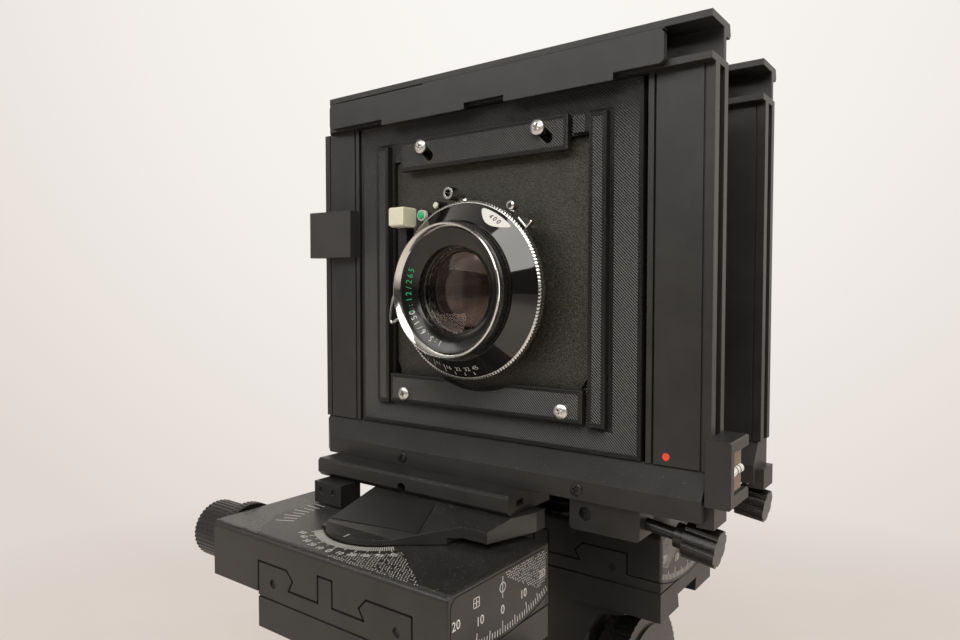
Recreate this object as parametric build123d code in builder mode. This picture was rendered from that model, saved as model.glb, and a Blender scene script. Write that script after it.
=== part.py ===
from build123d import *
import os
from math import cos, radians, sin

os.makedirs("parts", exist_ok=True)

# Large format monorail view camera, millimetres.
# X runs across the camera, Y along the rail with the lens towards -Y, Z up.
# The origin is the tripod socket in the middle of the rail clamp's base.

# ---- driving dimensions -------------------------------------------------
GAP = 0.35           # between pieces that move past each other
FIT = 0.05           # radial play of a shaft in its bore

CENTRE_Z = 340.0     # centre of the frame's opening above the tripod socket
LENS_DROP = 7.0      # lens axis below the centre of the opening
FRAME_HALF = 94.0    # half of the frame's outer width
FRAME_DEPTH = 13.0   # frame thickness along Y
OPENING_HALF = 71.0  # half of the frame's inner width
OPENING_TOP = 67.4   # the opening's edges above and below its centre

RAIL_Z, RAIL_R, RAIL_HALF = 52.0, 18.0, 150.0
CLAMP_HALF_Y = 15.0
CARRIAGE_TOP, CARRIAGE_HALF_Y = 80.0, 19.0
STANDARD_Y = 51.0    # distance of each column from the rail clamp

TILT_R = 90.0        # radius of the tilt arc under the block
AXIS_RISE = 65.7     # tilt axis above the block's top
BLOCK_HALF_X, BLOCK_HALF_Y = 62.5, 30.0
CRADLE_DROP = 36.0   # cradle's underside below the block's top

LENS_Z = CENTRE_Z - LENS_DROP


def save(builder, name):
    """Label a finished piece and write its STEP file."""
    builder.part.label = name
    export_step(builder.part, f"parts/{name}.step")


def block(x, y, z, mode=Mode.ADD):
    """A box between the limits x, y and z, each given as (low, high)."""
    spans = [sorted(limits) for limits in (x, y, z)]
    with Locations(tuple((low + high) / 2 for low, high in spans)):
        Box(*(high - low for low, high in spans), mode=mode)


def rod(start, end, radius, mode=Mode.ADD):
    """A round bar from start to end."""
    along = Vector(*end) - Vector(*start)
    with BuildSketch(Plane(origin=start, z_dir=along)) as section:
        Circle(radius)
    extrude(section.sketch, amount=along.length, mode=mode)


def tube(start, end, outer, inner):
    """A round tube from start to end."""
    along = Vector(*end) - Vector(*start)
    with BuildSketch(Plane(origin=start, z_dir=along)) as section:
        Circle(outer)
        Circle(inner, mode=Mode.SUBTRACT)
    extrude(section.sketch, amount=along.length)


def fluted(start, end, radius, count, flute, bore=0.0):
    """A knob with round flutes along its rim, from start to end."""
    along = Vector(*end) - Vector(*start)
    with BuildSketch(Plane(origin=start, z_dir=along)) as section:
        Circle(radius)
        with PolarLocations(radius + flute * 0.4, count):
            Circle(flute, mode=Mode.SUBTRACT)
        if bore:
            Circle(bore, mode=Mode.SUBTRACT)
    extrude(section.sketch, amount=along.length)


def prism(points, plane, length, mode=Mode.ADD):
    """A polygon drawn in the plane and pushed along its normal."""
    with BuildSketch(plane) as section:
        with BuildLine():
            Polyline(*points, close=True)
        make_face()
    extrude(section.sketch, amount=length, mode=mode)


def across(x):
    """Plane at x for sections drawn as (y, z); its normal is +X."""
    return Plane.YZ.offset(x)


def along_rail(y):
    """Plane at y for sections drawn as (x, z); its normal is +Y's opposite."""
    return Plane(origin=(0, y, 0), x_dir=(1, 0, 0), z_dir=(0, -1, 0))


def rel(low, high):
    """Heights above the tripod socket of two levels measured from the opening's centre."""
    return (CENTRE_Z + low, CENTRE_Z + high)


# ---- rail and its tripod clamp --------------------------------------------
SOCKET_R, SOCKET_LENGTH = 4.76, 10.0
RACK_HALF, RACK_DEPTH = 5.0, 2.6
CLAMP_SCREW_R = 5.0


def make_base():
    with BuildPart() as clamp:
        rod((0, -CLAMP_HALF_Y, RAIL_Z), (0, CLAMP_HALF_Y, RAIL_Z), 28)
        block((-28, 28), (-CLAMP_HALF_Y, CLAMP_HALF_Y), (0, RAIL_Z))
        chamfer(clamp.edges().filter_by(Axis.Z), 3)
        rod((0, -CLAMP_HALF_Y, RAIL_Z), (0, CLAMP_HALF_Y, RAIL_Z), RAIL_R + FIT, mode=Mode.SUBTRACT)
        rod((-30, 0, RAIL_Z), (-15, 0, RAIL_Z), CLAMP_SCREW_R + FIT, mode=Mode.SUBTRACT)
        rod((0, 0, 0), (0, 0, SOCKET_LENGTH), SOCKET_R, mode=Mode.SUBTRACT)
    save(clamp, "rail_clamp")

    with BuildPart() as knob:
        rod((-RAIL_R - GAP, 0, RAIL_Z), (-31, 0, RAIL_Z), CLAMP_SCREW_R)
        fluted((-30, 0, RAIL_Z), (-46, 0, RAIL_Z), 16, 10, 3)
        chamfer(knob.faces().sort_by(Axis.X)[0].edges(), 0.8)
    save(knob, "rail_clamp_knob")

    with BuildPart() as rail:
        rod((0, -RAIL_HALF, RAIL_Z), (0, RAIL_HALF, RAIL_Z), RAIL_R)
        low = RAIL_Z - RAIL_R - 1
        block((-RACK_HALF, RACK_HALF), (-RAIL_HALF, RAIL_HALF), (low, low + 1 + RACK_DEPTH),
              mode=Mode.SUBTRACT)
        for side in (-1, 1):
            rod((0, side * RAIL_HALF, RAIL_Z), (0, side * (RAIL_HALF - 20), RAIL_Z), 8,
                mode=Mode.SUBTRACT)
    save(rail, "rail")


# ---- one standard, from the rail up to the tilt block ----------------------
PINION_R, FOCUS_SHAFT_R = 5.0, 3.0
FOCUS_Z = RAIL_Z - RAIL_R + RACK_DEPTH - PINION_R - 0.4
POST_HALF_X, POST_HALF_Y, POST_TOP = 19.7, 16.7, 159.0
HEAD_HALF_X, HEAD_HALF_Y, HEAD_LOW = 26.0, 23.0, 104.0
CAVITY_TOP = 185.0
RISE_Z, SHIFT_Z = 152.4, 166.0
GUIDE_HALF_X, GUIDE_RISE = 45.0, 5.6
PIVOT_R, PIVOT_DEPTH = 8.0, 11.0
KNOB_DROP, KNOB_OUT = 13.3, 10.5     # side knobs below the block's top and outwards along Y
SEAM_DROP = 24.2                    # seam round the cradle below the block's top


class Standard:
    """Places of one standard; out is -1 in front of the clamp and 1 behind it."""

    def __init__(self, name, out, block_x, block_top, frame_y, swing_y, bar_y, lug_x):
        self.name, self.out = name, out
        self.x, self.y = block_x, out * STANDARD_Y
        self.top = block_top
        self.low = block_top - CRADLE_DROP
        self.head = self.low - 0.4
        self.axis_z = block_top + AXIS_RISE
        self.frame_y, self.swing_y, self.bar_y, self.lug_x = frame_y, swing_y, bar_y, lug_x


FRONT = Standard("front", -1, -27.6, 238.3, -15.5, -44.0, (-33.5, -3.5), 42.0)
REAR = Standard("rear", 1, 0.0, 234.5, 44.5, 51.0, (36.0, 66.0), 54.0)


def make_carriage(std):
    y = (std.y - CARRIAGE_HALF_Y, std.y + CARRIAGE_HALF_Y)
    with BuildPart() as carriage:
        block((-30, 30), y, (20, CARRIAGE_TOP))
        chamfer(carriage.edges().filter_by(Axis.Y), 4)
        rod((0, y[0], RAIL_Z), (0, y[1], RAIL_Z), RAIL_R + FIT, mode=Mode.SUBTRACT)
        rod((-31, std.y, FOCUS_Z), (31, std.y, FOCUS_Z), FOCUS_SHAFT_R + FIT, mode=Mode.SUBTRACT)
        reach = PINION_R + GAP
        block((-5, 5), (std.y - reach, std.y + reach), (FOCUS_Z - reach, RAIL_Z - 14),
              mode=Mode.SUBTRACT)
    save(carriage, f"{std.name}_carriage")

    with BuildPart() as knob:
        rod((-29, std.y, FOCUS_Z), (33, std.y, FOCUS_Z), FOCUS_SHAFT_R)
        fluted((-4.5, std.y, FOCUS_Z), (4.5, std.y, FOCUS_Z), PINION_R, 12, 0.7)
        fluted((32, std.y, FOCUS_Z), (47, std.y, FOCUS_Z), 28, 48, 0.8)
        rod((47, std.y, FOCUS_Z), (48, std.y, FOCUS_Z), 22)
    save(knob, f"{std.name}_focus_knob")

    with BuildPart() as post:
        block((-POST_HALF_X, POST_HALF_X), (std.y - POST_HALF_Y, std.y + POST_HALF_Y),
              (CARRIAGE_TOP, POST_TOP))
        chamfer(post.edges().group_by(Axis.Z)[-1], 1.5)
    save(post, f"{std.name}_column_post")


def make_head(std):
    head, y = std.head, (std.y - HEAD_HALF_Y, std.y + HEAD_HALF_Y)
    shoulder = [(HEAD_HALF_X, HEAD_LOW), (HEAD_HALF_X, head - 16), (31.4, head - 6.5),
                (GUIDE_HALF_X, head - 3.5), (GUIDE_HALF_X, head)]
    with BuildPart() as part:
        prism(shoulder + [(-x, z) for x, z in reversed(shoulder)], along_rail(y[1]), y[1] - y[0])
        chamfer(part.edges().filter_by(Axis.Z), 1.5)
        prism([(std.y - 9.2, head - 1), (std.y - 10.7, head + GUIDE_RISE),
               (std.y + 10.7, head + GUIDE_RISE), (std.y + 9.2, head - 1)],
              across(-GUIDE_HALF_X), GUIDE_HALF_X * 2)
        block((-POST_HALF_X - 0.3, POST_HALF_X + 0.3),
              (std.y - POST_HALF_Y - 0.3, std.y + POST_HALF_Y + 0.3), (HEAD_LOW, CAVITY_TOP),
              mode=Mode.SUBTRACT)
        rod((HEAD_HALF_X + 1, std.y, RISE_Z), (POST_HALF_X, std.y, RISE_Z), 6 + FIT, mode=Mode.SUBTRACT)
        rod((-HEAD_HALF_X - 1, std.y, SHIFT_Z), (-POST_HALF_X, std.y, SHIFT_Z), 4 + FIT,
            mode=Mode.SUBTRACT)
    save(part, f"{std.name}_column_head")

    inner = POST_HALF_X + 0.6
    with BuildPart() as rise:
        rod((inner, std.y, RISE_Z), (32, std.y, RISE_Z), 6)
        rod((HEAD_HALF_X + GAP, std.y, RISE_Z), (31, std.y, RISE_Z), 24)
        fluted((31, std.y, RISE_Z), (44, std.y, RISE_Z), 35, 60, 0.8)
        rod((44, std.y, RISE_Z), (45, std.y, RISE_Z), 28)
    save(rise, f"{std.name}_rise_knob")

    with BuildPart() as shift:
        rod((-inner, std.y, SHIFT_Z), (-30, std.y, SHIFT_Z), 4)
        fluted((-29, std.y, SHIFT_Z), (-39, std.y, SHIFT_Z), 14, 30, 0.6)
    save(shift, f"{std.name}_shift_knob")


# Section of the cradle's arc rails: places right of the block's centre and radii
# from the tilt axis.
ARC_RAILS = [(-32.4, 81.6), (-15.3, 81.6), (-11.9, 84.8), (-14.3, 88.8), (2.2, 88.8), (2.2, 79.6),
             (9.8, 79.6), (9.8, 88.8), (25.7, 88.8), (23.3, 85.2), (26.8, 81.8), (47.7, 81.8),
             (47.7, TILT_R + 0.4), (BLOCK_HALF_X, TILT_R + 0.4)]
WING_R = 93.0


def rail_section(std, margin=0.0):
    """The cradle's arc rails as a face across the tilt axis, grown by a margin."""
    points = [(-32.4, 120)] + ARC_RAILS + [(BLOCK_HALF_X, 120)]
    plane = Plane(origin=(std.x, std.y, std.axis_z), x_dir=(1, 0, 0), z_dir=(0, -1, 0))
    with BuildSketch(plane) as section:
        with BuildLine():
            Polyline(*[(x, -radius) for x, radius in points], close=True)
        make_face()
        if margin:
            offset(amount=margin, kind=Kind.INTERSECTION)
    return section.sketch


def make_tilt(std):
    spin = Axis((std.x, std.y, std.axis_z), (1, 0, 0))
    y = (std.y - BLOCK_HALF_Y, std.y + BLOCK_HALF_Y)
    with BuildPart() as cradle:
        revolve(rail_section(std), axis=spin)
        block((std.x - 32.4, std.x + BLOCK_HALF_X), y, (std.low, std.axis_z), mode=Mode.INTERSECT)
        prism([(std.y - 9.8, std.low - 1), (std.y - 11.1, std.low + GUIDE_RISE + 0.2),
               (std.y + 11.1, std.low + GUIDE_RISE + 0.2), (std.y + 9.8, std.low - 1)],
              across(std.x - 40), 120, mode=Mode.SUBTRACT)
        seam = (std.top - SEAM_DROP, std.top - SEAM_DROP + 0.8)
        for face in y:
            block((std.x - 33, std.x + 63), (face - 0.7, face + 0.7), seam, mode=Mode.SUBTRACT)
            for x in (-23.5, 40.9):
                rod((std.x + x, face - 0.8, std.top - 17.4), (std.x + x, face + 0.8, std.top - 17.4), 1.7,
                    mode=Mode.SUBTRACT)
        block((std.x + BLOCK_HALF_X - 0.7, std.x + 63), y, seam, mode=Mode.SUBTRACT)
    save(cradle, f"{std.name}_shift_cradle")

    knob_y, knob_z = std.y + std.out * KNOB_OUT, std.top - KNOB_DROP
    side = std.x - BLOCK_HALF_X
    with BuildPart() as body:
        rod((side, std.y, std.axis_z), (std.x + BLOCK_HALF_X, std.y, std.axis_z), TILT_R)
        rod((side, std.y, std.axis_z), (std.x - 33, std.y, std.axis_z), WING_R)
        block((side, std.x + BLOCK_HALF_X), y, (std.top - 45, std.top), mode=Mode.INTERSECT)
        corner = body.edges().filter_by(Axis.X).group_by(Axis.Z)[-1].sort_by(Axis.Y)
        fillet(corner[0], 2.5)
        chamfer(body.faces().sort_by(Axis.Z)[-1].edges().filter_by(Axis.Y), 0.6)
        revolve(rail_section(std, GAP), axis=spin, mode=Mode.SUBTRACT)
        rod((side - 1, knob_y, knob_z), (side + 16, knob_y, knob_z), 5 + FIT, mode=Mode.SUBTRACT)
        rod((std.x, std.swing_y, std.top + 1), (std.x, std.swing_y, std.top - PIVOT_DEPTH - GAP),
            PIVOT_R + FIT, mode=Mode.SUBTRACT)
    save(body, f"{std.name}_tilt_block")

    with BuildPart() as tilt:
        tube((side + 15, knob_y, knob_z), (side - 1.5, knob_y, knob_z), 5, 3.3)
        fluted((side - 1, knob_y, knob_z), (side - 5.4, knob_y, knob_z), 15, 48, 0.6, bore=3.3)
    save(tilt, f"{std.name}_tilt_knob")

    with BuildPart() as swing:
        rod((side + 15, knob_y, knob_z), (side - 6, knob_y, knob_z), 3.25)
        fluted((side - 5.8, knob_y, knob_z), (side - 25.8, knob_y, knob_z), 12.3, 40, 0.6)
    save(swing, f"{std.name}_swing_knob")


# ---- saddle, carrier bar and frame -----------------------------------------
SILL_LOW, SILL_STEP, SILL_TOP = -83.4, -76.0, -OPENING_TOP
BAR_LOW = -91.5
CHANNEL_TOP = 83.0
DISC_R = 23.5
SCREW_TILT = (0.989, 0.0, -0.148)


def make_ramp(std, base, roof, toe):
    """The sloping plate from the disc to the bar, with its wing to the right."""
    front, back = std.bar_y
    reach = min(57, std.lug_x - std.x - 2)
    outline = [(-18, front - 30), (12, front - 30), (25.6, front - 19.5), (38.6, front - 9.5),
               (50, front - 9.5), (reach, front + 13), (reach, front + 19), (18, front + 19),
               (18, back - 5), (-18, back - 5)]
    with BuildPart() as ramp:
        prism([(toe, base), (toe, base + 1.2), (front + 1.5, roof), (back - 5, roof), (back - 5, base)],
              across(std.x - 18), 75)
        prism([(std.x + x, y) for x, y in outline], Plane.XY.offset(base), roof - base,
              mode=Mode.INTERSECT)
        block((std.x + 34, std.x + 58), (front - 20, back), (base - 1, base + 2.4), mode=Mode.SUBTRACT)
    return ramp.part


def make_saddle(std):
    base, bar_z = std.top + 0.3, rel(BAR_LOW, SILL_LOW)
    front, back = std.bar_y
    toe = std.swing_y - DISC_R + 6
    with BuildPart() as saddle:
        rod((std.x, std.swing_y, base), (std.x, std.swing_y, base + 2), DISC_R)
        rod((std.x, std.swing_y, base + 1), (std.x, std.swing_y, std.top - PIVOT_DEPTH), PIVOT_R)
        add(make_ramp(std, base, bar_z[0], toe))
    save(saddle, f"{std.name}_saddle")

    with BuildPart() as bar:
        prism([(front, bar_z[0] + 2), (front + 2, bar_z[0]), (back, bar_z[0]), (back, bar_z[1]),
               (front + 1, bar_z[1]), (front, bar_z[1] - 1)], across(std.x - 52.5), 105)
        rod((std.x - 1, front - 1, bar_z[0] + 2.6), (std.x - 1, front + 8, bar_z[0] + 2.6), 2.2,
            mode=Mode.SUBTRACT)
        for side in (-1, 1):
            end = std.x + side * 52.5
            block((end - 2, end + 2), (front + 6, front + 11), (bar_z[0] + 3, bar_z[0] + 5.4),
                  mode=Mode.SUBTRACT)
        block((std.x - 47.4, std.x - 30.4), (front - 6.5, front + 5), (std.top + 0.6, bar_z[0] - 0.2))
        block((std.x - 47.4, std.x - 30.4), (front + 2.5, front + 5), (bar_z[0] - 1, bar_z[0]))
        for x in (-42.9, -34.9):
            rod((std.x + x, front - 7, std.top + 6), (std.x + x, front - 5.9, std.top + 6), 1.6,
                mode=Mode.SUBTRACT)
    save(bar, f"{std.name}_carrier_bar")


def make_frame(std):
    front, back = std.frame_y, std.frame_y + FRAME_DEPTH
    low, step, top = (CENTRE_Z + level for level in (SILL_LOW, SILL_STEP, SILL_TOP))
    shaft = Vector(70, front + 5, CENTRE_Z - 90.6)
    aim = Vector(*SCREW_TILT)
    with BuildPart() as sill:
        prism([(back, low), (front - 6, low), (front - 6, step), (front + 1, top), (back, top)],
              across(-93), 186)
        prism([(-94.5, front + 0.8), (-94.5, front - 7), (-84.2, front - 7)], Plane.XY.offset(low - 1),
              step - low + 10, mode=Mode.SUBTRACT)
        block((90, 96), (front - 2, back - 2), rel(-86, -78))
        block((-93, -88), (front + 2, back - 2), rel(-86, -78))
        block((std.lug_x, 70), (front - 2, front + 10), rel(-95.8, SILL_LOW))
        chamfer(sill.edges().filter_by(Axis.Y).group_by(Axis.Z)[0], 1)
        rod(tuple(shaft + aim), tuple(shaft - aim * 13), 2.25 + FIT, mode=Mode.SUBTRACT)
        hole = (std.lug_x + 6.5, CENTRE_Z - 89.3)
        rod((hole[0], front - 3, hole[1]), (hole[0], front + 1, hole[1]), 2.6, mode=Mode.SUBTRACT)
    save(sill, f"{std.name}_frame_sill")

    for side, label in ((-1, "left"), (1, "right")):
        with BuildPart() as column:
            block((side * OPENING_HALF, side * FRAME_HALF), (front, back), rel(SILL_TOP, OPENING_TOP))
            for x, half, depth in ((73.5, 0.4, 1.5), (90.6, 0.3, 0.6)):
                block((side * (x - half), side * (x + half)), (front - 1, front + depth),
                      rel(SILL_TOP - 1, OPENING_TOP + 1), mode=Mode.SUBTRACT)
            block((side * (FRAME_HALF - 5), side * (FRAME_HALF + 1)), (front + 4.2, front + 9.4),
                  rel(SILL_TOP - 1, OPENING_TOP + 1), mode=Mode.SUBTRACT)
        save(column, f"{std.name}_frame_{label}")

    floor, roof = rel(OPENING_TOP, CHANNEL_TOP)
    lip = front - 3.6
    with BuildPart() as channel:
        prism([(lip, floor), (back, floor), (back, floor + 2.4), (front + 10.4, floor + 2.4),
               (front + 10.4, roof - 5), (back + 1, roof - 5), (back + 2, roof - 3.5),
               (back + 1, roof), (lip, roof), (lip, roof - 2.4), (front + 8, roof - 2.4),
               (front + 8, floor + 2.4), (lip, floor + 2.4)],
              across(-FRAME_HALF), FRAME_HALF * 2)
        prism([(-94.5, front + 4.2), (-94.5, front - 4), (-86.1, front - 4)], Plane.XY.offset(floor - 1),
              roof - floor + 2, mode=Mode.SUBTRACT)
    save(channel, f"{std.name}_frame_top")

    face, rear_face = front - 6.5, front - 4.0
    with BuildPart() as slide:
        block((-83.5, 79), (face, rear_face), rel(68, 79.1))
        for edges in slide.edges().filter_by(Axis.Y).group_by(Axis.Z):
            fillet(edges, 1.8)
        block((-26, 79), (face, rear_face), rel(79, 79.5))
        for x in ((-50, -4.5), (14.7, 60.7)):
            block(x, (face, rear_face), rel(65.5, 70))
        for x in (-70, 0, 66):
            block((x - 4, x + 4), (rear_face - 0.5, front + 6), rel(70.8, 73.8))
    save(slide, f"{std.name}_lock_slide")

    with BuildPart() as knob:
        rod(tuple(shaft - aim * 12), tuple(shaft + aim * 15), 2.25)
        rod(tuple(shaft + aim * 11), tuple(shaft + aim * 15), 4.4)
        fluted(tuple(shaft + aim * 14.5), tuple(shaft + aim * 26), 6.5, 8, 1.2)
    save(knob, f"{std.name}_frame_clamp_knob")


# ---- bellows -----------------------------------------------------------------
FOLDS = [(-2.2, 65), (1.2, 75), (4.6, 63), (8.0, 75), (11.4, 63), (14.8, 75), (18.2, 63), (21.6, 75),
         (25.0, 63), (28.4, 75), (31.8, 63), (35.2, 75), (38.6, 63), (44.2, 62)]
BELLOWS_WALL = 1.4


def folded_tube(inset):
    """Square rings through the folds, each inset by the same wall."""
    rings = []
    for y, half in FOLDS:
        with BuildSketch(along_rail(y)) as section:
            with Locations((0, CENTRE_Z)):
                Rectangle((half - inset) * 2, (half - inset) * 2)
        rings.append(section.sketch)
    return rings


def make_bellows():
    with BuildPart() as bellows:
        loft(folded_tube(0), ruled=True)
        loft(folded_tube(BELLOWS_WALL), ruled=True, mode=Mode.SUBTRACT)
    save(bellows, "bellows")


# ---- lens boards ----------------------------------------------------------------
ADAPTER_HALF_X, ADAPTER_HALF_Z = 69.3, 67.1
BORDER_IN, BORDER_OUT, BORDER_PROUD = 49.7, 56.7, 3.0
LENS_BOARD_HALF = (48.0, 49.5)
LENS_BOARD_Y = (1.5, 3.5)   # behind the frame's front plane
CLAMP_Y = (-4.0, -1.0)
CLAMP_TRAVEL = 6.0
TOP_SCREWS = [(-29.0, 54.0), (29.0, 54.0)]
BOTTOM_SCREWS = [(-39.4, -52.0), (39.4, -52.0)]


def make_boards():
    y0 = FRONT.frame_y
    with BuildPart() as adapter:
        block((-ADAPTER_HALF_X, ADAPTER_HALF_X), (y0, y0 + 5.5), rel(-ADAPTER_HALF_Z, ADAPTER_HALF_Z))
        for side in (-1, 1):
            block((side * BORDER_IN, side * BORDER_OUT), (y0 - BORDER_PROUD, y0), rel(-56.7, 56.7))
        block((43.2, BORDER_IN), (y0 - BORDER_PROUD, y0), rel(50.2, 56.7))
        block((-48.3, 48.3), (y0 - 1, y0 + LENS_BOARD_Y[1]), rel(-49.8, 49.8), mode=Mode.SUBTRACT)
        block((-42, 42), (y0, y0 + 6), rel(-43, 43), mode=Mode.SUBTRACT)
    save(adapter, "adapter_board")

    half_x, half_z = LENS_BOARD_HALF
    seat = (y0 + LENS_BOARD_Y[0], y0 + LENS_BOARD_Y[1])
    with BuildPart() as board:
        low, high = rel(-half_z, half_z)
        prism([(-half_x, high), (half_x, high), (half_x, low + 11), (half_x - 6.5, low),
               (6.5 - half_x, low), (-half_x, low + 11)], along_rail(seat[1]), seat[1] - seat[0])
        fillet(board.edges().filter_by(Axis.Y).group_by(Axis.Z)[-1], 1.5)
        rod((0, seat[0] - 1, LENS_Z), (0, seat[1] + 1, LENS_Z), 20.6, mode=Mode.SUBTRACT)
    save(board, "lens_board")

    y = (y0 + CLAMP_Y[0], y0 + CLAMP_Y[1])
    with BuildPart() as top:
        block((-41.5, 41.5), y, rel(44.6, 57.6))
        chamfer(top.faces().sort_by(Axis.Y)[0].edges(), 0.5)
        slots = [(x + CLAMP_TRAVEL * 0.354, CENTRE_Z + z - CLAMP_TRAVEL * 0.354) for x, z in TOP_SCREWS]
        with BuildSketch(along_rail(y[1] + 1)) as section:
            with Locations(*slots):
                SlotCenterToCenter(CLAMP_TRAVEL, 4.0, rotation=-45)
        extrude(section.sketch, amount=10, mode=Mode.SUBTRACT)
    save(top, "top_clamp")

    with BuildPart() as bottom:
        block((-48, 48), y, rel(-56, -43.5))
        chamfer(bottom.faces().sort_by(Axis.Y)[0].edges(), 0.5)
        rod((0, y[0] - 1, LENS_Z), (0, y[1] + 1, LENS_Z), 40.6, mode=Mode.SUBTRACT)
        for x, z in BOTTOM_SCREWS:
            rod((x, y[0] - 1, CENTRE_Z + z), (x, y[1] + 1, CENTRE_Z + z), 1.6, mode=Mode.SUBTRACT)
    save(bottom, "bottom_clamp")

    with BuildPart() as screws:
        for x, z in TOP_SCREWS + BOTTOM_SCREWS:
            proud = GAP if z > 0 else 0.0
            rod((x, y[0] - proud, CENTRE_Z + z), (x, y[0] - proud - 1.7, CENTRE_Z + z), 3.0)
            rod((x, y[0] - proud, CENTRE_Z + z), (x, y0, CENTRE_Z + z), 1.5)
    save(screws, "board_screws")


# ---- shutter and lens --------------------------------------------------------------
BODY_R, RIM_R, NECK_R = 27.5, 32.5, 26.5
GROOVE_R, GROOVE = 26.0, (4.2, 6.8)


def radial_plane(degrees):
    """Plane through the lens axis for (radius, distance ahead of the frame) sections."""
    angle = radians(degrees)
    return Plane(origin=(0, FRONT.frame_y, LENS_Z), x_dir=(cos(angle), 0, sin(angle)),
                 z_dir=(sin(angle), 0, -cos(angle)))


def turned(points, start=0.0, arc=360.0, mode=Mode.ADD):
    """Turn (radius, ahead) points about the lens axis from a start angle; 90 is up."""
    with BuildSketch(radial_plane(start)) as section:
        with BuildLine():
            Polyline(*points, close=True)
        make_face()
    axis = Axis((0, FRONT.frame_y, LENS_Z), (0, -1, 0))
    revolve(section.sketch, axis=axis, revolution_arc=arc, mode=mode)


def polar(radius, degrees, ahead):
    """A point round the lens axis; 0 degrees is +X and 90 is up."""
    angle = radians(degrees)
    return (radius * cos(angle), FRONT.frame_y - ahead, LENS_Z + radius * sin(angle))


def lever(name, degrees, reach, spread, tip):
    """A lever riding in the shutter's groove, with a round pad at its end."""
    low, high = GROOVE[0] + 0.3, GROOVE[1] - 0.3
    middle = (low + high) / 2
    with BuildPart() as part:
        turned([(GROOVE_R + FIT, low), (29, low), (29, high), (GROOVE_R + FIT, high)],
               degrees - spread / 2, spread)
        rod(polar(28, degrees, middle), polar(reach, degrees, middle), 0.95)
        rod(polar(reach, degrees, low), polar(reach, degrees, tip), 1.9)
    save(part, name)


def make_lens():
    back = -LENS_BOARD_Y[0]
    with BuildPart() as shutter:
        turned([(19.6, back), (BODY_R, back), (BODY_R, GROOVE[1]), (RIM_R, GROOVE[1]), (RIM_R, 8.7),
                (NECK_R, 8.7), (NECK_R, 18.7), (19.6, 18.7)])
        turned([(17.6, back - 4), (20.4, back - 4), (20.4, back + 1), (17.6, back + 1)])
        turned([(20, back - 4), (23.6, back - 4), (23.6, back - 2), (20, back - 2)])
        for start, arc in ((-6, 92), (182, 66)):
            turned([(GROOVE_R, GROOVE[0]), (30, GROOVE[0]), (30, GROOVE[1]), (GROOVE_R, GROOVE[1])],
                   start, arc, mode=Mode.SUBTRACT)
        rod(polar(27, 115, 5.8), polar(38, 115, 5.8), 1.5)
        rod(polar(38.4, 115, 4.2), polar(38.4, 115, 10), 1.9)
        rod(polar(27, 128.3, 5.8), polar(39.5, 128.3, 5.8), 1.2)
        rod(polar(40, 128.3, 4.2), polar(40, 128.3, 9), 1.9)
    save(shutter, "shutter_body")

    with BuildPart() as speed:
        turned([(NECK_R + FIT, 9), (35.4, 9), (35.4, 12), (34.5, 12.2), (27.2, 18.6),
                (NECK_R + FIT, 18.6)])
        with BuildSketch(along_rail(FRONT.frame_y - 9)) as teeth:
            with Locations((0, LENS_Z)):
                with PolarLocations(35.5, 72):
                    Circle(0.6)
        extrude(teeth.sketch, amount=3, mode=Mode.SUBTRACT)
    save(speed, "speed_ring")

    with BuildPart() as cell:
        turned([(18.2, 8), (19.4, 8), (19.4, 18.7), (25.8, 18.7), (26.2, 20), (26.2, 22.6), (25, 24.4),
                (25, 25.4), (23.6, 25.4), (23.6, 22.8), (18.2, 19.4)])
    save(cell, "front_cell")

    with BuildPart() as rear:
        turned([(0, -24), (14, -22.6), (14, -26.4), (18.6, -26.4), (18.6, -9), (17.4, -8), (17.4, -1),
                (14.5, -1), (14.5, -17), (0, -17)])
    save(rear, "rear_cell")

    with BuildPart() as glass:
        turned([(0, 9), (18.1, 9), (18.1, 17.4), (14, 19.4), (9, 20.7), (4.5, 21.3), (0, 21.5)])
    save(glass, "lens_glass")

    lever("cocking_lever", 43, 38.2, 14, 9)
    lever("release_lever", 59, 37.8, 10, 9)
    lever("aperture_lever", 190, 42.5, 12, 9)

    with BuildPart() as cable:
        rod(polar(BODY_R, 101.6, 3.6), polar(38.2, 101.6, 3.6), 1.7)
        tube(polar(39.6, 101.6, 1), polar(39.6, 101.6, 12.5), 2.5, 1.4)
    save(cable, "cable_socket")

    y0 = FRONT.frame_y
    with BuildPart() as sync:
        block((-38.9, -30.3), (y0 - 14, y0 - 5.6), rel(20, 28))
        fillet(sync.edges(), 0.6)
        block((-39, -33.6), (y0 - 8.4, y0 - 3.5), rel(8, 20.5))
        rod(polar(BODY_R, 157.7, 4.9), polar(38, 157.7, 4.9), 1.2)
    save(sync, "sync_block")


# ---- small fittings on the front frame ------------------------------------------------
def make_fittings():
    y0 = FRONT.frame_y
    with BuildPart() as level:
        block((FRAME_HALF, 102.5), (y0 - 6, y0 + 13), rel(-77.5, -55.5))
        block((98.4, 104), (y0 - 2.8, y0 + 14), rel(-73.5, -59.5), mode=Mode.SUBTRACT)
        block((98.2, 100.9), (y0 - 3, y0 + 9), rel(-73.7, -59.3))
        chamfer(level.edges().filter_by(Axis.Y).group_by(Axis.X)[-1], 0.5)
    save(level, "spirit_level")

    with BuildPart() as clip:
        floor = Plane.XY.offset(CENTRE_Z + 8.6)
        prism([(-96.2, y0 - 8), (-71.4, y0 - 5.4), (-71.4, y0), (-91, y0), (-95.8, y0 - 5.6)], floor, 21.4)
    save(clip, "hood_clip")


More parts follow.
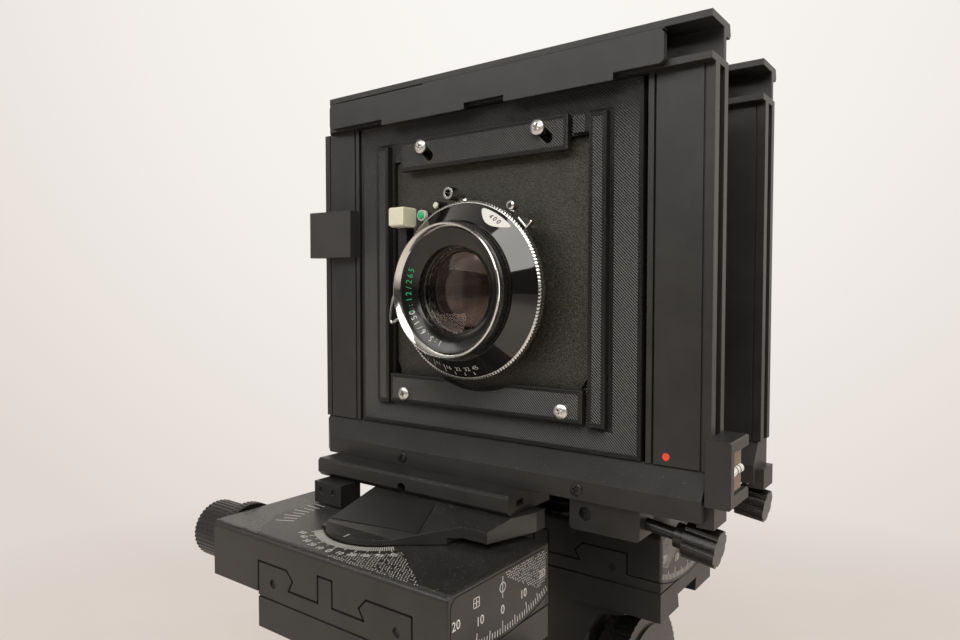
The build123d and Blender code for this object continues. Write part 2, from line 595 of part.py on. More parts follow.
# ---- ground glass back --------------------------------------------------------------------
def make_back():
    y0 = REAR.frame_y + FRAME_DEPTH
    with BuildPart() as back:
        block((-78, 78), (y0 + GAP, y0 + 11), rel(-64, 64))
        fillet(back.edges().filter_by(Axis.Y), 4)
        block((-60, 60), (y0, y0 + 12), rel(-47, 47), mode=Mode.SUBTRACT)
        block((-63, 63), (y0 + 6, y0 + 12), rel(-50, 50), mode=Mode.SUBTRACT)
    save(back, "back_frame")

    with BuildPart() as glass:
        block((-62.8, 62.8), (y0 + 6, y0 + 8.2), rel(-49.8, 49.8))
    save(glass, "ground_glass")

    with BuildPart() as springs:
        for side in (-1, 1):
            block((side * 67, side * 75), (y0 + 11, y0 + 12), rel(-52, 52))
    save(springs, "back_springs")


make_base()
for standard in (FRONT, REAR):
    make_carriage(standard)
    make_head(standard)
    make_tilt(standard)
    make_saddle(standard)
    make_frame(standard)
make_bellows()
make_boards()
make_lens()
make_fittings()
make_back()
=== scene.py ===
"""Looks of the large format view camera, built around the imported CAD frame."""
from math import cos, pi, radians, sin
from random import Random

import bmesh
import bpy
from mathutils import Matrix, Vector


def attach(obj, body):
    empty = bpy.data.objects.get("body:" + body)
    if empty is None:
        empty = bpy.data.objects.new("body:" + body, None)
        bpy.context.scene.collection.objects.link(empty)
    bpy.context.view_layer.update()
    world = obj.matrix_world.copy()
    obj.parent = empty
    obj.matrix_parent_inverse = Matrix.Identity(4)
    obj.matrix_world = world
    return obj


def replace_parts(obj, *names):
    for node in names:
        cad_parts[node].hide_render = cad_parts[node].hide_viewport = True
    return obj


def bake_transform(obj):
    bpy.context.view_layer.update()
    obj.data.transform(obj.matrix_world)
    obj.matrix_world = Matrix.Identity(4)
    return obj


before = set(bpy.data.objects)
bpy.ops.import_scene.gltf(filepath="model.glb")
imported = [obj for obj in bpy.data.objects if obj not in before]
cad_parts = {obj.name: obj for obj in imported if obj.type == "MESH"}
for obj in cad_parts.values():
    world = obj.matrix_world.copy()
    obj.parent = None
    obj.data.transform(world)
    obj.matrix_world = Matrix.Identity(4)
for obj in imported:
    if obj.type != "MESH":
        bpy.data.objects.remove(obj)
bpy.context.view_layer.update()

MM = 0.001
CENTRE_Z = 340.0          # centre of the frame's opening, mm
LENS_Z = 333.0
FRONT_Y, REAR_Y = -15.5, 44.5      # front planes of the two frames
X, Y, Z = Vector((1, 0, 0)), Vector((0, 1, 0)), Vector((0, 0, 1))
DECAL = 0.05              # how far printed marks stand off their surface


# ---- materials --------------------------------------------------------------
def wire(tree, source, target):
    tree.links.new(source, target)


def add_node(tree, kind, **values):
    node = tree.nodes.new(kind)
    for key, value in values.items():
        if key[0].islower():
            setattr(node, key, value)
        else:
            node.inputs[key.replace("_", " ")].default_value = value
    return node


def maths(tree, operation, a, b=None):
    """A Math node; a and b are sockets or numbers."""
    node = tree.nodes.new("ShaderNodeMath")
    node.operation = operation
    for slot, value in enumerate((a, b)):
        if value is None:
            continue
        if isinstance(value, (int, float)):
            node.inputs[slot].default_value = value
        else:
            wire(tree, value, node.inputs[slot])
    return node.outputs[0]


def noise(tree, coords, size_mm, detail=3.0, roughness=0.55):
    node = add_node(tree, "ShaderNodeTexNoise", Scale=1.0 / (size_mm * MM), Detail=detail,
                    Roughness=roughness)
    wire(tree, coords, node.inputs["Vector"])
    return node.outputs["Fac"]


def remap(tree, value, low, high, start=0.3, end=0.7):
    node = add_node(tree, "ShaderNodeMapRange", From_Min=start, From_Max=end, To_Min=low, To_Max=high)
    wire(tree, value, node.inputs["Value"])
    return node.outputs["Result"]


def blend_colour(tree, factor, first, second):
    node = tree.nodes.new("ShaderNodeMix")
    node.data_type = "RGBA"
    wire(tree, factor, node.inputs["Factor"])
    for socket, colour in ((node.inputs["A"], first), (node.inputs["B"], second)):
        if isinstance(colour, tuple):
            socket.default_value = (*colour, 1.0)
        else:
            wire(tree, colour, socket)
    return node.outputs["Result"]


def printed_layer(*outlines, period=0.82, margin=1.65):
    """Height of a printed top layer: ridges at 45 degrees inside perimeter lines along each outline.

    An outline is (centre x, centre z, half width, half height) in mm; a centre x above zero stands
    for both sides."""
    def pattern(tree, coords):
        split = tree.nodes.new("ShaderNodeSeparateXYZ")
        wire(tree, coords, split.inputs[0])
        x, z = split.outputs["X"], split.outputs["Z"]
        nearest = None
        for centre_x, centre_z, half_x, half_z in outlines:
            off_x = maths(tree, "ABSOLUTE",
                          maths(tree, "SUBTRACT", maths(tree, "ABSOLUTE", x), centre_x * MM))
            off_z = maths(tree, "ABSOLUTE", maths(tree, "SUBTRACT", z, centre_z * MM))
            inside = maths(tree, "MINIMUM", maths(tree, "SUBTRACT", half_x * MM, off_x),
                           maths(tree, "SUBTRACT", half_z * MM, off_z))
            edge = maths(tree, "ABSOLUTE", inside)
            nearest = edge if nearest is None else maths(tree, "MINIMUM", nearest, edge)
        turns = 2 * pi / (period * MM)
        diagonal = maths(tree, "SINE", maths(tree, "MULTIPLY", maths(tree, "ADD", x, z), turns * 0.72))
        rim = maths(tree, "SINE", maths(tree, "MULTIPLY", nearest, turns * 1.45))
        at_rim = maths(tree, "LESS_THAN", nearest, margin * MM)
        loops = noise(tree, coords, 1.3, 1.0)
        chosen = tree.nodes.new("ShaderNodeMix")
        wire(tree, at_rim, chosen.inputs["Factor"])
        wire(tree, diagonal, chosen.inputs["A"])
        wire(tree, rim, chosen.inputs["B"])
        normal = tree.nodes.new("ShaderNodeSeparateXYZ")
        wire(tree, tree.nodes.new("ShaderNodeNewGeometry").outputs["Normal"], normal.inputs[0])
        facing = maths(tree, "GREATER_THAN", maths(tree, "ABSOLUTE", normal.outputs["Y"]), 0.7)
        height = maths(tree, "ADD", maths(tree, "MULTIPLY", chosen.outputs["Result"], 0.4),
                       maths(tree, "MULTIPLY", loops, 0.35))
        return maths(tree, "MULTIPLY", height, facing)
    return pattern


def weave(tree, coords, period=0.9):
    """Height of a plain weave."""
    split = tree.nodes.new("ShaderNodeSeparateXYZ")
    wire(tree, coords, split.inputs[0])
    turns = 2 * pi / (period * MM)
    first = maths(tree, "SINE", maths(tree, "MULTIPLY", split.outputs["X"], turns))
    second = maths(tree, "SINE", maths(tree, "MULTIPLY",
                                       maths(tree, "ADD", split.outputs["Z"], split.outputs["Y"]), turns))
    return maths(tree, "MULTIPLY", maths(tree, "MULTIPLY", first, second), 0.5)


def surface(name, dark, light, rough, grain=0.35, bump=0.02, blotch=14.0, edge=0.3, pattern=None,
            pattern_gain=0.6, dust_and_sheen=0.0, contrast=False, **sockets):
    """A principled material with blotched colour, grained roughness and bump, and softened edges; optionally
    light specks that are partly dust and partly painted sheen.
    """
    material = bpy.data.materials.new(name)
    material.use_nodes = True
    tree = material.node_tree
    shader = tree.nodes["Principled BSDF"]
    coords = tree.nodes.new("ShaderNodeTexCoord").outputs["Object"]
    cloud = remap(tree, noise(tree, coords, blotch), 0, 1)
    fine = noise(tree, coords, grain, 2.0)
    mottle = maths(tree, "MULTIPLY_ADD", fine, 0.5)
    wire(tree, maths(tree, "MULTIPLY", cloud, 0.5), mottle.node.inputs[2])
    if contrast:
        mottle = remap(tree, fine, 0, 1, 0.42, 0.72)
    colour = blend_colour(tree, mottle, dark, light)
    # light specks blended over the colour, mostly on upward faces: the Voronoi motes are dust, the noise
    # specks are painted sheen highlights, so the lighter tops are partly painted sheen
    if dust_and_sheen:
        normal = tree.nodes.new("ShaderNodeNewGeometry").outputs["Normal"]
        split = tree.nodes.new("ShaderNodeSeparateXYZ")
        wire(tree, normal, split.inputs[0])
        cells = add_node(tree, "ShaderNodeTexVoronoi", Scale=1 / (1.5 * MM))
        wire(tree, coords, cells.inputs["Vector"])
        motes = maths(tree, "LESS_THAN", cells.outputs["Distance"], 0.085)
        sheen_specks = remap(tree, noise(tree, coords, 0.45, 4.0, 0.7), 0, 0.35, 0.60, 0.72)
        upward = maths(tree, "ADD", maths(tree, "MAXIMUM", split.outputs["Z"], 0.0), 0.06)
        dust_and_sheen_by_facing = maths(tree, "MULTIPLY", maths(tree, "ADD", sheen_specks, motes), upward)
        amount = maths(tree, "MULTIPLY", dust_and_sheen_by_facing, dust_and_sheen)
        colour = blend_colour(tree, amount, colour, (0.42, 0.40, 0.36))
    wire(tree, colour, shader.inputs["Base Color"])
    wire(tree, remap(tree, fine, rough[0], rough[1]), shader.inputs["Roughness"])
    height = fine
    if pattern:
        node = maths(tree, "MULTIPLY_ADD", pattern(tree, coords), pattern_gain)
        wire(tree, maths(tree, "MULTIPLY", fine, 1 - pattern_gain), node.node.inputs[2])
        height = node
    if bump:
        bevel = add_node(tree, "ShaderNodeBevel", samples=4, Radius=edge * MM)
        relief = add_node(tree, "ShaderNodeBump", Strength=1.0, Distance=bump * MM)
        wire(tree, height, relief.inputs["Height"])
        wire(tree, bevel.outputs[0], relief.inputs["Normal"])
        wire(tree, relief.outputs[0], shader.inputs["Normal"])
    for key, value in sockets.items():
        shader.inputs[key.replace("_", " ")].default_value = value
    return material


COAT = surface("coat", (0.0060, 0.0058, 0.0056), (0.020, 0.0194, 0.0186), (0.34, 0.52), grain=0.3, bump=0.035,
               dust_and_sheen=0.35)
# the same coat with the light specks at full strength: dust, and painted sheen on its upward faces
COAT_DUST_AND_SHEEN = surface("coat_dust_and_sheen", (0.0060, 0.0058, 0.0056), (0.020, 0.0194, 0.0186), (0.30, 0.44), grain=0.3,
                     bump=0.03, dust_and_sheen=1.0)
SATIN = surface("satin", (0.0045, 0.0045, 0.0045), (0.012, 0.0115, 0.011), (0.22, 0.34), grain=0.8,
                bump=0.005)
CLIP = surface("clip", (0.016, 0.0155, 0.015), (0.030, 0.029, 0.028), (0.4, 0.55), grain=0.5)


def printed(name, *outlines):
    return surface(name, (0.0050, 0.0050, 0.0050), (0.016, 0.0155, 0.015), (0.26, 0.42), bump=0.34,
                   pattern=printed_layer(*outlines), pattern_gain=0.92, blotch=30)


PRINT_BOARD = printed("print_board", (0, CENTRE_Z, 69.3, 67.1), (53.2, CENTRE_Z, 3.5, 56.7))
PRINT_TOP = printed("print_top_clamp", (0, CENTRE_Z + 51.1, 41.5, 6.5))
PRINT_BOTTOM = printed("print_bottom_clamp", (0, CENTRE_Z - 49.75, 48.0, 6.25))
CRINKLE = surface("crinkle", (0.0050, 0.0047, 0.0034), (0.058, 0.054, 0.037), (0.38, 0.6), grain=0.42,
                  bump=0.20, contrast=True)
GLOSS = surface("gloss", (0.003, 0.003, 0.003), (0.006, 0.006, 0.006), (0.04, 0.08), grain=2.0,
                bump=0.0006, Coat_Weight=0.5, Coat_Roughness=0.03)
KNOB = surface("knob", (0.0045, 0.0045, 0.0045), (0.012, 0.0115, 0.0115), (0.24, 0.38), grain=0.7, bump=0.01)
CHROME = surface("chrome", (0.56, 0.55, 0.53), (0.74, 0.73, 0.71), (0.06, 0.17), grain=1.4, bump=0.0015,
                 Metallic=1.0)
ZINC = surface("zinc", (0.62, 0.61, 0.58), (0.82, 0.80, 0.77), (0.24, 0.36), grain=0.4, bump=0.01,
               Metallic=1.0)
ANODISED = surface("anodised", (0.012, 0.012, 0.0125), (0.024, 0.024, 0.0245), (0.25, 0.38), grain=0.6,
                   bump=0.006, Metallic=0.4)
WHITE = surface("paint_white", (0.50, 0.49, 0.47), (0.68, 0.67, 0.64), (0.4, 0.55), bump=0.004)
GREEN = surface("paint_green", (0.012, 0.30, 0.11), (0.03, 0.42, 0.17), (0.25, 0.4), bump=0.004)
RED = surface("paint_red", (0.62, 0.045, 0.015), (0.74, 0.07, 0.028), (0.3, 0.45), bump=0.004)
IVORY = surface("ivory", (0.60, 0.56, 0.42), (0.72, 0.68, 0.54), (0.3, 0.42), grain=0.9, bump=0.006,
                Subsurface_Weight=0.1)
INSIDE = surface("inside", (0.003, 0.003, 0.003), (0.008, 0.0075, 0.007), (0.4, 0.6), bump=0.02,
                 Specular_IOR_Level=0.06)
LABEL = surface("label", (0.004, 0.004, 0.004), (0.009, 0.009, 0.0085), (0.42, 0.55), grain=0.5, bump=0.012)
CLOTH = surface("cloth", (0.006, 0.006, 0.006), (0.018, 0.017, 0.016), (0.6, 0.8), bump=0.08,
                pattern=weave, edge=0.5)
GLOSS_SOFT = surface("gloss_soft", (0.003, 0.003, 0.003), (0.006, 0.006, 0.006), (0.14, 0.20), grain=2.0,
                     bump=0.001)
DARK_GLASS = surface("dark_glass", (0.008, 0.006, 0.006), (0.014, 0.010, 0.009), (0.05, 0.09), grain=6.0,
                     bump=0.0, Specular_IOR_Level=1.0, Specular_Tint=(1.0, 0.80, 0.72, 1.0))
GLASS = surface("coated_glass", (0.95, 0.90, 0.86), (0.97, 0.93, 0.90), (0.0, 0.004), grain=9.0, bump=0.0,
                Transmission_Weight=1.0, IOR=1.25, Specular_Tint=(1.0, 0.74, 0.62, 1.0))
AMBER = surface("amber", (0.20, 0.105, 0.035), (0.34, 0.20, 0.085), (0.05, 0.12), bump=0.002,
                Transmission_Weight=0.6)
VIAL = surface("vial", (0.66, 0.66, 0.56), (0.86, 0.86, 0.78), (0.03, 0.07), bump=0.001, Metallic=0.6)
SCREEN = surface("screen", (0.55, 0.56, 0.54), (0.66, 0.67, 0.65), (0.45, 0.6), grain=0.2, bump=0.02,
                 Transmission_Weight=0.35)


# ---- mesh helpers -------------------------------------------------------------
def spot(x, y, z):
    return Vector((x, y, z)) * MM


def axes(origin, right, up):
    """Matrix that takes local x, y, z (mm) to right, up and their normal at origin (mm)."""
    normal = right.cross(up)
    turn = Matrix((right, up, normal)).transposed().to_4x4()
    return Matrix.Translation(Vector(origin) * MM) @ turn @ Matrix.Scale(MM, 4)


def facing_front(x, y, z):
    """Local x to the right, y up, z towards the lens side."""
    return axes((x, y, z), X, Z)


def add_piece(name, verts, faces, material, body, slot, smooth=35.0, place=None):
    mesh = bpy.data.meshes.new(name)
    points = [place @ Vector(point) for point in verts] if place else verts
    mesh.from_pydata(points, [], faces)
    work = bmesh.new()
    work.from_mesh(mesh)
    bmesh.ops.remove_doubles(work, verts=work.verts, dist=1e-7)
    bmesh.ops.dissolve_degenerate(work, edges=work.edges, dist=1e-8)
    bmesh.ops.recalc_face_normals(work, faces=work.faces)
    work.to_mesh(mesh)
    work.free()
    mesh.materials.append(material)
    mesh.shade_smooth()
    mesh.set_sharp_from_angle(angle=radians(smooth))
    piece = bpy.data.objects.new(name, mesh)
    bpy.context.scene.collection.objects.link(piece)
    if body:
        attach(piece, body)
    return piece


def lathe(profile, steps=96, wobble=None):
    """Closed profile of (radius, height) points turned round local z."""
    verts, faces, count = [], [], len(profile)
    for step in range(steps):
        turn = 2 * pi * step / steps
        for index, (radius, height) in enumerate(profile):
            r = radius + (wobble(index, step) if wobble else 0)
            verts.append((r * cos(turn), r * sin(turn), height))
    for step in range(steps):
        here, there = step * count, (step + 1) % steps * count
        for index in range(count):
            after = (index + 1) % count
            faces.append((here + index, there + index, there + after, here + after))
    return verts, faces


def box(x, y, z, chamfer=0.0):
    """A box between limits with chamfered edges all round its z faces."""
    rings = []
    (x0, x1), (y0, y1), (z0, z1) = x, y, z
    levels = [(z0, 0), (z1, 0)]
    if chamfer:
        levels = [(z0, chamfer), (z0 + chamfer, 0), (z1 - chamfer, 0), (z1, chamfer)]
    for height, c in levels:
        rings.append([(x0 + c, y0 + c, height), (x1 - c, y0 + c, height), (x1 - c, y1 - c, height),
                      (x0 + c, y1 - c, height)])
    verts = [point for ring in rings for point in ring]
    faces = [(3, 2, 1, 0), tuple(len(verts) - 4 + i for i in range(4))]
    for level in range(len(rings) - 1):
        for i in range(4):
            a, b = level * 4 + i, level * 4 + (i + 1) % 4
            faces.append((a, b, b + 4, a + 4))
    return verts, faces


def bent_wire(name, points, radius, material, body, slot, sides=12):
    """A round wire through points in mm."""
    curve = bpy.data.curves.new(name, "CURVE")
    curve.dimensions = "3D"
    curve.bevel_depth = radius * MM
    curve.bevel_resolution = sides // 4
    curve.use_fill_caps = True
    spline = curve.splines.new("NURBS")
    spline.points.add(len(points) - 1)
    for point, place in zip(spline.points, points):
        point.co = (*spot(*place), 1)
    spline.order_u = 3
    spline.use_endpoint_u = True
    source = bpy.data.objects.new(name + "_line", curve)
    mesh = bpy.data.meshes.new_from_object(source)
    bpy.data.objects.remove(source)
    verts = [vertex.co.copy() for vertex in mesh.vertices]
    return add_piece(name, verts, [tuple(face.vertices) for face in mesh.polygons], material, body, slot)


class Marks:
    """Printed or engraved marks collected into one piece."""

    def __init__(self):
        self.verts, self.faces = [], []

    def add(self, verts, faces, place):
        start = len(self.verts)
        self.verts += [place @ Vector(point) for point in verts]
        self.faces += [tuple(start + index for index in face) for face in faces]

    def bar(self, length, width, place):
        self.add(*box((-width / 2, width / 2), (0, length), (0, DECAL)), place)

    def dot(self, radius, place, sides=8):
        self.add(*lathe([(0, 0), (radius, 0), (radius, DECAL), (0, DECAL)], sides), place)

    def text(self, string, size, place):
        curve = bpy.data.curves.new("letters", "FONT")
        curve.body, curve.size = string, size
        curve.align_x, curve.align_y = "CENTER", "CENTER"
        curve.extrude = DECAL / 2
        curve.resolution_u = 3
        source = bpy.data.objects.new("letters", curve)
        mesh = bpy.data.meshes.new_from_object(source)
        bpy.data.objects.remove(source)
        lift = Matrix.Translation((0, 0, DECAL / 2))
        self.add([vertex.co for vertex in mesh.vertices], [tuple(face.vertices) for face in mesh.polygons],
                 place @ lift)

    def build(self, name, material, body, slot):
        return add_piece(name, self.verts, self.faces, material, body, slot, smooth=20)


def screw_mesh(radius, dome, cross):
    """Verts and faces of a domed head with a cross recess; its rim lies at z = 0."""
    profile = [(0, -0.6), (radius, -0.6), (radius, 0.15 * radius)]
    profile += [(radius * cos(radians(a)), 0.15 * radius + dome * sin(radians(a))) for a in (25, 45, 65, 80)]
    profile.append((0, 0.15 * radius + dome))
    data = []
    for verts, faces in [lathe(profile, 48)] + [box((-l / 2, l / 2), (-w / 2, w / 2), (-0.5, 9))
                                                 for l, w in ((cross, cross * 0.28), (cross * 0.28, cross))]:
        mesh = bpy.data.meshes.new("shape")
        mesh.from_pydata(verts, [], faces)
        work = bmesh.new()
        work.from_mesh(mesh)
        bmesh.ops.remove_doubles(work, verts=work.verts, dist=1e-5)
        bmesh.ops.recalc_face_normals(work, faces=work.faces)
        work.to_mesh(mesh)
        work.free()
        data.append(bpy.data.objects.new("shape", mesh))
        bpy.context.scene.collection.objects.link(data[-1])
    head = data[0]
    for cutter in data[1:]:
        cut = head.modifiers.new("cross", "BOOLEAN")
        cut.operation, cut.solver, cut.object = "DIFFERENCE", "EXACT", cutter
    bpy.context.view_layer.update()
    mesh = bpy.data.meshes.new_from_object(head.evaluated_get(bpy.context.evaluated_depsgraph_get()))
    verts = [tuple(vertex.co) for vertex in mesh.vertices]
    faces = [tuple(face.vertices) for face in mesh.polygons]
    for piece in data:
        bpy.data.objects.remove(piece)
    return verts, faces


# ---- the CAD nodes' own materials ------------------------------------------------
NODE_LOOKS = {
    "carriage": COAT, "column_head": COAT, "shift_cradle": COAT, "tilt_block": COAT_DUST_AND_SHEEN,
    "saddle": COAT_DUST_AND_SHEEN, "carrier_bar": COAT_DUST_AND_SHEEN, "frame_sill": COAT, "frame_left": COAT,
    "frame_right": COAT, "frame_top": COAT, "lock_slide": COAT, "column_post": ANODISED,
    "focus_knob": KNOB, "rise_knob": KNOB, "shift_knob": KNOB, "tilt_knob": KNOB, "swing_knob": KNOB,
    "frame_clamp_knob": KNOB, "rail_clamp": COAT, "rail_clamp_knob": KNOB, "rail": ANODISED,
    "adapter_board": PRINT_BOARD, "top_clamp": PRINT_TOP, "bottom_clamp": PRINT_BOTTOM, "lens_board": CRINKLE,
    "shutter_body": SATIN, "rear_cell": SATIN, "hood_clip": CLIP, "spirit_level": COAT,
    "cable_socket": CHROME, "cocking_lever": CHROME, "release_lever": CHROME, "aperture_lever": CHROME,
    "sync_block": IVORY, "back_frame": COAT, "ground_glass": SCREEN, "back_springs": CHROME,
    "bellows": CLOTH, "speed_ring": GLOSS, "front_cell": SATIN, "lens_glass": GLASS,
    "board_screws": ZINC,
}
for node_name, node_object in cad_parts.items():
    plain = node_name.split("_", 1)[1] if node_name.startswith(("front_", "rear_")) else node_name
    look = NODE_LOOKS.get(node_name) or NODE_LOOKS[plain]
    node_object.data.materials.clear()
    node_object.data.materials.append(look)


BELLOWS_Y = (-2.2, 44.2)
FOLD_OUT, FOLD_IN, BELLOWS_WALL = 74.5, 63.0, 0.9
FOLDS = 14                      # half pleats from frame to frame
SEGMENT_SHARE = [2.6, 2.6, 2.8, 2.8, 12.4, 12.4, 2.8, 2.8, 2.6, 2.6]
RING_STEP = 0.55


def fold_half(y):
    """Half width of the bellows at y: straight runs between folds, eased at each fold."""
    span = (BELLOWS_Y[1] - BELLOWS_Y[0]) / FOLDS
    place = (y - BELLOWS_Y[0]) / span
    low, part = int(place), place - int(place)
    ends = [FOLD_IN if (low + k) % 2 == 0 else FOLD_OUT for k in (0, 1)]
    part = part + 0.04 * sin(2 * pi * part)
    return ends[0] + (ends[1] - ends[0]) * part


def bellows_ring(y, inset):
    """Octagon whose cut corners grow towards the outer folds."""
    half = fold_half(y) - inset
    cut = 3.0 + 12.0 * (half + inset - FOLD_IN) / (FOLD_OUT - FOLD_IN)
    half = min(half, 66.5 if y > 37 or y < -1 else 99)
    flat = half - cut
    corners = [(half, flat), (flat, half), (-flat, half), (-half, flat), (-half, -flat), (-flat, -half),
               (flat, -half), (half, -flat)]
    ring = []
    for index, (x, z) in enumerate(corners):
        following = corners[(index + 1) % 8]
        for part in (0, 1 / 3, 2 / 3):
            ring.append((x + (following[0] - x) * part, y, CENTRE_Z + z + (following[1] - z) * part))
    return ring


def bellows_segment(index, y0, y1):
    count = max(3, round((y1 - y0) / RING_STEP))
    levels = [y0 + (y1 - y0) * step / count for step in range(count + 1)]
    verts, faces = [], []
    for inset in (0, BELLOWS_WALL):
        for y in levels:
            verts += [tuple(spot(*point)) for point in bellows_ring(y, inset)]
    size, layer = 24, 24 * len(levels)
    for step in range(count):
        for side in range(size):
            a, b = step * size + side, step * size + (side + 1) % size
            faces.append((a, b, b + size, a + size))
            faces.append((layer + a, layer + a + size, layer + b + size, layer + b))
    for end in (0, count * size):
        for side in range(size):
            a, b = end + side, end + (side + 1) % size
            faces.append((a, layer + a, layer + b, b))
    piece = add_piece(f"bellows_{index:02d}", verts, faces, CLOTH, None, "bellows_cloth", smooth=25)
    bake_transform(piece)
    return piece


edge_y = BELLOWS_Y[0]
for link, share in enumerate(SEGMENT_SHARE):
    next_y = edge_y + share * (BELLOWS_Y[1] - BELLOWS_Y[0]) / sum(SEGMENT_SHARE)
    segment = bellows_segment(link, edge_y, next_y)
    if link in (0, len(SEGMENT_SHARE) - 1):
        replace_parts(segment, "bellows")
    edge_y = next_y


# ---- screws ---------------------------------------------------------------------------
zinc_head = screw_mesh(3.0, 1.0, 3.0)
dark_head = screw_mesh(2.4, 0.5, 2.6)
heads = Marks()
for x, z, turn in ((-29, 54, 20), (29, 54, 65), (-39.4, -52, 10), (39.4, -52, 50)):
    proud = 4.5 if z > 0 else 4.1
    place = facing_front(x, FRONT_Y - proud, CENTRE_Z + z) @ Matrix.Rotation(radians(turn), 4, "Z")
    heads.add(*zinc_head, place)
    stem = lathe([(0, -proud), (1.45, -proud), (1.45, -0.3), (0, -0.3)], 24)
    heads.add(*stem, place)
screws = heads.build("clamp_screws", ZINC, "front_standard", "steel")
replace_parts(screws, "board_screws")

for name, y in (("front", FRONT_Y), ("rear", REAR_Y)):
    dark = Marks()
    for x, turn in ((-39, 30), (47, 75)):
        place = facing_front(x, y - 6.0, CENTRE_Z - 79.6) @ Matrix.Rotation(radians(turn), 4, "Z")
        dark.add(*dark_head, place)
    dark.build(f"{name}_sill_screws", ANODISED, f"{name}_standard", "black_coat")


# ---- lens -------------------------------------------------------------------------------
LENS_PLACE = axes((0, FRONT_Y, LENS_Z), X, Z)        # local z points ahead of the lens board


def lens_piece(name, profile, material, body="front_standard", slot="black_satin", steps=128, wobble=None,
               smooth=35):
    return add_piece(name, *lathe(profile, steps, wobble), material, body, slot, smooth, LENS_PLACE)


def teeth(indices, depth):
    return lambda index, step: depth if index in indices and step % 4 in (1, 2) else 0.0


cone = lens_piece("speed_cone", [(26.6, 9.1), (33.6, 9.1), (34.3, 12.3), (33.4, 13.0), (27.3, 18.5),
                                 (26.6, 18.5)], GLOSS, "speed_ring", "black_satin")
lens_piece("speed_knurl", [(33.3, 9.0), (35.0, 9.0), (35.0, 11.7), (34.4, 12.15), (33.3, 12.15)],
           CHROME, "speed_ring", "chrome", steps=640, wobble=teeth((1, 2), 0.4), smooth=20)
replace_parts(cone, "speed_ring")

barrel = lens_piece("lens_barrel", [(18.3, 8.2), (19.3, 8.2), (19.3, 18.8), (25.7, 18.8), (26.1, 19.6),
                                    (26.1, 22.4), (25.2, 23.3), (24.2, 23.3), (18.3, 19.3)], SATIN)
lens_piece("front_ring", [(23.75, 22.95), (25.3, 22.9), (26.05, 23.4), (26.1, 24.4), (25.85, 25.0),
                          (25.45, 25.25), (25.0, 25.0)], CHROME, slot="chrome")
lens_piece("name_ring", [(17.4, 18.4), (17.4, 19.2), (17.8, 19.5), (23.3, 22.75), (23.7, 22.75),
                         (23.7, 22.3), (18.3, 18.4)], GLOSS_SOFT)
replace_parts(barrel, "front_cell")

front_glass = lens_piece("front_element", [(0, 13.4), (6, 13.6), (12, 14.2), (16.9, 15.0), (16.9, 15.5),
                                           (14, 16.6), (10.5, 17.5), (7, 18.1), (3.5, 18.45), (0, 18.55)],
                         GLASS, slot="lens_glass")
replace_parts(front_glass, "lens_glass")
lens_piece("second_element", [(0, 8.2), (14.6, 8.2), (14.6, 9.6), (11.5, 10.8), (8, 11.7), (4, 12.2),
                              (0, 12.4)], DARK_GLASS, slot="lens_glass")
lens_piece("lens_tube", [(13.7, 3.0), (19.5, 3.0), (19.5, 8.0), (18.3, 8.0), (18.3, 18.4), (17.6, 18.4),
                         (17.4, 17.6), (17.4, 16.0), (16.95, 15.7), (16.95, 13.4), (16.0, 13.2), (16.0, 11.4),
                         (15.0, 11.2), (15.0, 8.0), (13.7, 7.8)], SATIN)
lens_piece("cell_edge", [(15.0, 12.0), (15.9, 12.0), (15.9, 12.5), (15.0, 12.5)], ANODISED,
           slot="black_satin")
blades = Marks()
for blade in range(5):
    turn = Matrix.Rotation(2 * pi * blade / 5, 4, "Z")
    corners = [(0.4, -1.2), (13, -9.5), (15.5, 0), (12.2, 10), (4.0, 7.6)]
    base = 1.6 + blade * 0.12
    verts = [(x, y, z) for z in (base, base + 0.1) for x, y in corners]
    sides = [(i, (i + 1) % 5, (i + 1) % 5 + 5, i + 5) for i in range(5)]
    blades.add(verts, [(4, 3, 2, 1, 0), (5, 6, 7, 8, 9)] + sides, LENS_PLACE @ turn)
blades.build("shutter_blades", SATIN, "front_standard", "black_satin")


def around(radius, degrees, ahead, slope=0.0, flip=False):
    """Place on the lens face; text's up points outwards, or inwards when flipped."""
    angle = radians(degrees)
    out = (X * cos(angle) + Z * sin(angle))
    ahead_axis = -Y
    up = (out * cos(slope) + ahead_axis * sin(slope)) * (-1 if flip else 1)
    side = X * sin(angle) - Z * cos(angle)
    right = side * (-1 if flip else 1)
    origin = Vector((0, FRONT_Y - ahead, LENS_Z)) + out * radius
    return axes(origin, right, up)


def ring_text(marks, string, radius, ahead, centre, size, step, slope, flip=False):
    """Letters one by one round the lens; centre is the angle of the middle letter."""
    for index, letter in enumerate(string):
        if letter == " ":
            continue
        offset = (index - (len(string) - 1) / 2) * step
        angle = centre + (offset if flip else -offset)
        marks.text(letter, size, around(radius, angle, ahead, slope, flip))


NAME_SLOPE = radians(30.6)
name_white, name_green = Marks(), Marks()
ring_text(name_white, "1:5.6/150", 20.8, 21.35, 231, 3.3, 6.6, NAME_SLOPE)
ring_text(name_green, "1:12/265", 20.8, 21.35, 180, 3.3, 6.6, NAME_SLOPE)
name_white.build("focal_marks", WHITE, "front_standard", "steel")
name_green.build("converted_marks", GREEN, "front_standard", "steel")

CONE_SLOPE = -radians(42.0)


def cone_ahead(radius):
    return 13.0 + (33.4 - radius) * 5.5 / 6.1


